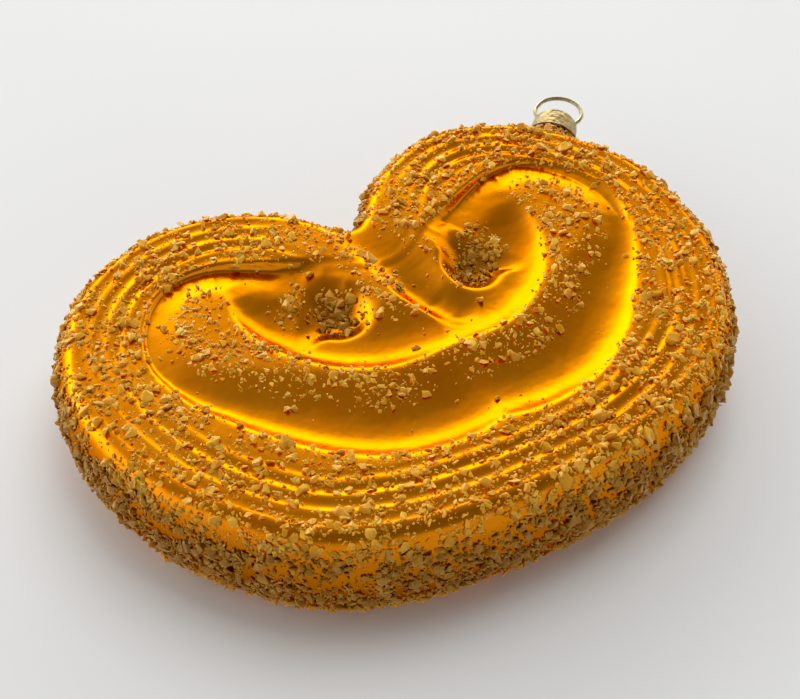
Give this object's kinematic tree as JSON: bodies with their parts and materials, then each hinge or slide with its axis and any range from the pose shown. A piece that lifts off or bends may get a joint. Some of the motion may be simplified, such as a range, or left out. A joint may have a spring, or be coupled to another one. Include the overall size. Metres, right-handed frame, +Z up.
{
  "type": "glass palmier ornament",
  "caption": "Flat heart-shaped blown-glass ornament moulded as a sugared palmier: two mirrored spirals, ridged rim, crimped metal cap and wire loop at one shoulder.",
  "frame": {"origin": "centre of the bounding box's lower face, on the surface that the ornament lies on", "axes": "+Z up out of the shown face, +Y towards the notch of the heart, +X towards the lobe that carries the cap"},
  "size_m": [0.113, 0.0864, 0.0185],
  "materials": {
    "gold_glass": "opaque golden lacquer over glass, satin to glossy",
    "pale_brass": "pressed thin metal, satin",
    "wire_brass": "drawn wire, bright"
  },
  "bodies": {
    "root": {"glass_body": "gold_glass", "hanger_cap": "pale_brass", "hanger_loop": "wire_brass"}
  },
  "joints": []
}
